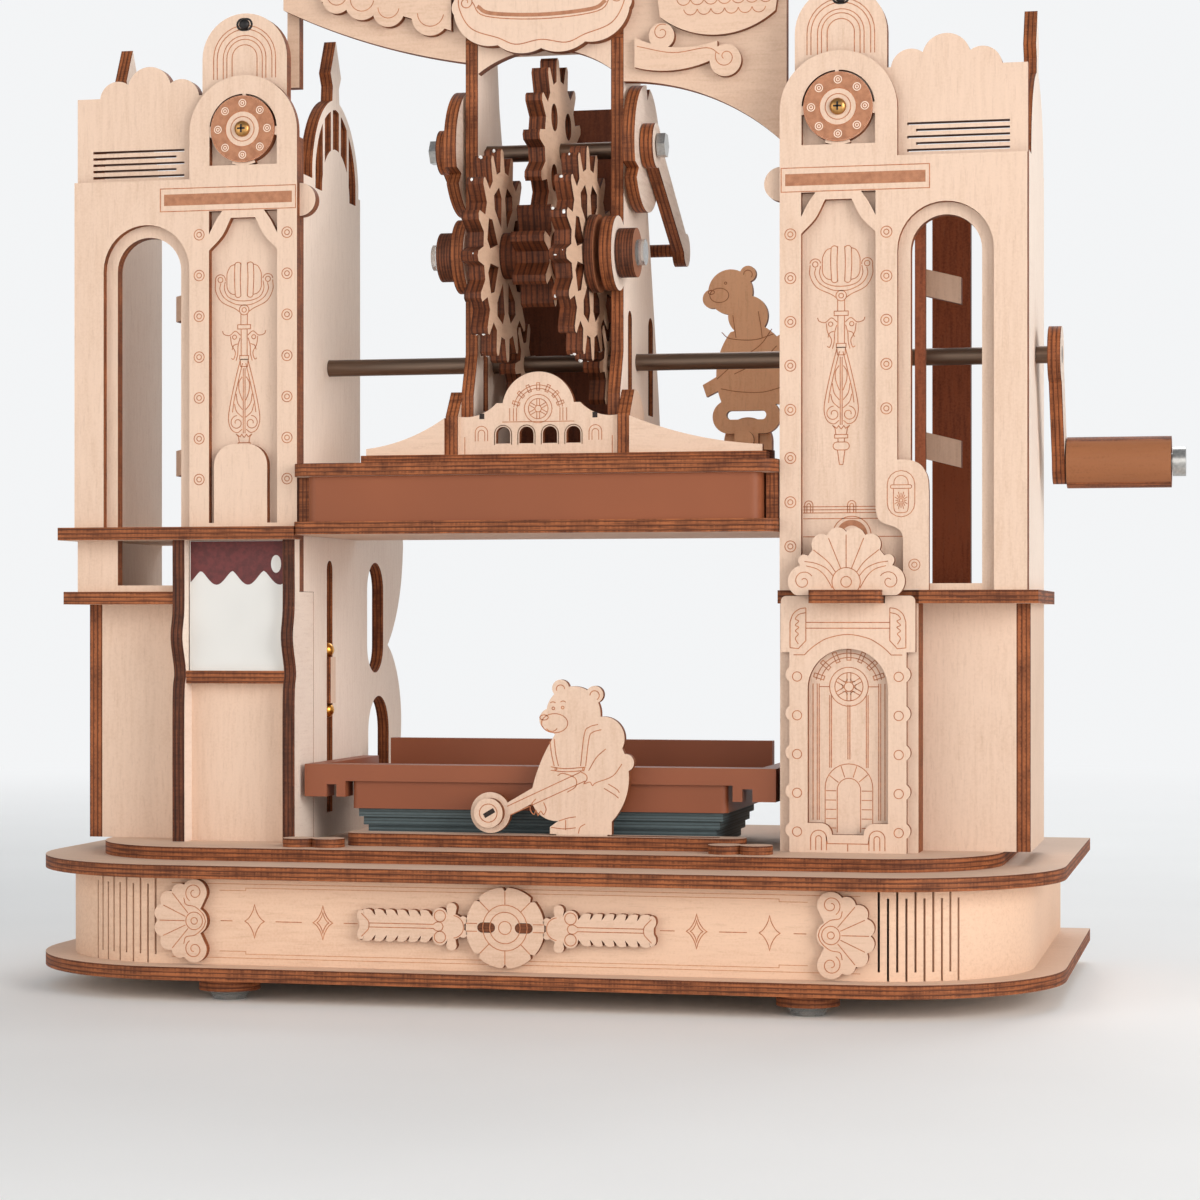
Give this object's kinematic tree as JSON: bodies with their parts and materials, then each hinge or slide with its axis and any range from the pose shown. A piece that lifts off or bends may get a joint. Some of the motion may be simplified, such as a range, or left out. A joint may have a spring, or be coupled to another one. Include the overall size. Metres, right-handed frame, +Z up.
{
  "type": "wooden printing press model",
  "caption": "Laser-cut plywood model of a flat-bed printing press with two gothic wings, a hand crank that turns a gear train over a platen, and a bed that lifts.",
  "frame": {"origin": "middle of the footprint on the table, under the feet", "axes": "+X to the right as seen from the front, along the shafts, +Y to the back, +Z up"},
  "size_m": [0.2676, 0.132, 0.2428],
  "materials": {
    "birch_ply": "satin",
    "ply_gears": "satin",
    "dark_ply": "matte",
    "steel_rod": "satin",
    "steel_bolts": "satin",
    "brass_pins": "satin",
    "clear_plastic": "gloss",
    "white_plastic": "matte",
    "brown_plastic": "matte",
    "grey_card": "matte",
    "printed_card": "matte"
  },
  "bodies": {
    "frame": {"arch_beam_left": "birch_ply", "arch_beam_right": "birch_ply", "beam_ornaments": "birch_ply", "bear_track": "birch_ply", "bottom_plate": "birch_ply", "cabinet_boards": "birch_ply", "clear_bumpers": "clear_plastic", "column_frames": "birch_ply", "deck_lobes": "birch_ply", "deck_plate": "birch_ply", "dial_medallions": "birch_ply", "facade": "birch_ply", "facade_base": "birch_ply", "fascia": "birch_ply", "fascia_ornaments": "birch_ply", "foot_discs": "birch_ply", "lantern_plates": "birch_ply", "ledges": "birch_ply", "lower_bays": "birch_ply", "moulding_plate": "birch_ply", "paper_card": "printed_card", "pedestal_boards": "birch_ply", "pedestal_door": "birch_ply", "platen_block": "brown_plastic", "platen_discs": "dark_ply", "platen_frame": "birch_ply", "platen_top": "birch_ply", "rear_bracket": "birch_ply", "rear_scrolls": "birch_ply", "shell_crests": "birch_ply", "sign_plate": "birch_ply", "tower_plates": "birch_ply", "tower_ties": "birch_ply", "window_bands": "birch_ply", "wing_fronts": "birch_ply", "wing_inner_walls": "birch_ply", "wing_outer_walls": "birch_ply"},
    "crank": {"main_shaft": "steel_rod", "shaft_pinions": "ply_gears", "shaft_bushes": "white_plastic", "crank_arm": "birch_ply", "knob_pin": "steel_bolts"},
    "knob": {"crank_knob": "birch_ply"},
    "front_gears": {"front_axle": "steel_rod", "ornate_gears": "ply_gears", "middle_pinion": "ply_gears", "axle_discs": "dark_ply", "axle_caps": "clear_plastic"},
    "crank_axle": {"crank_axle": "steel_rod", "lobed_gear": "ply_gears", "crank_wheels": "ply_gears", "crank_pins": "steel_bolts"},
    "rods": {"connecting_rods": "birch_ply"},
    "bed": {"bed_tray": "brown_plastic", "bed_block": "brown_plastic", "bed_sheets": "grey_card"},
    "followers": {"follower_blocks": "birch_ply", "follower_pins": "brass_pins"},
    "front_bear": {"front_bear": "birch_ply"},
    "rear_bear": {"rear_bear": "birch_ply"}
  },
  "joints": [
    {"name": "crank_turn", "type": "hinge", "parent": "frame", "child": "crank", "pos_m": [-0.0128, -0.009, 0.1477], "axis": [1, 0, 0], "continuous": true},
    {"name": "knob_spin", "type": "hinge", "parent": "crank", "child": "knob", "pos_m": [0.1192, 0.005, 0.12345], "axis": [1, 0, 0], "continuous": true},
    {"name": "gear_turn", "type": "hinge", "parent": "frame", "child": "front_gears", "pos_m": [-0.0128, -0.02901, 0.1713], "axis": [1, 0, 0], "continuous": true},
    {"name": "crank_axle_turn", "type": "hinge", "parent": "frame", "child": "crank_axle", "pos_m": [-0.0128, -0.01501, 0.1973], "axis": [1, 0, 0], "continuous": true},
    {"name": "rod_pivot", "type": "hinge", "parent": "crank_axle", "child": "rods", "pos_m": [-0.0128, -0.02001, 0.1973], "axis": [1, 0, 0], "continuous": true},
    {"name": "bed_lift", "type": "slide", "parent": "frame", "child": "bed", "axis": [0, 0, 1], "range_m": [0, 0.048]},
    {"name": "follower_lift", "type": "slide", "parent": "frame", "child": "followers", "axis": [0, 0, 1], "range_m": [0, 0.0192]},
    {"name": "bear_walk", "type": "slide", "parent": "frame", "child": "front_bear", "axis": [1, 0, 0], "range_m": [0, 0.024]},
    {"name": "rear_bear_rock", "type": "hinge", "parent": "frame", "child": "rear_bear", "pos_m": [0.0262, 0.0285, 0.131], "axis": [0, 1, 0], "range_deg": [-10, 10]}
  ],
  "couplings": [
    {"joint": "gear_turn", "follows": "crank_turn", "ratio": -0.375},
    {"joint": "crank_axle_turn", "follows": "crank_turn", "ratio": 0.1875},
    {"joint": "rod_pivot", "follows": "crank_turn", "ratio": -0.1875},
    {"joint": "follower_lift", "follows": "bed_lift", "ratio": 0.4}
  ]
}
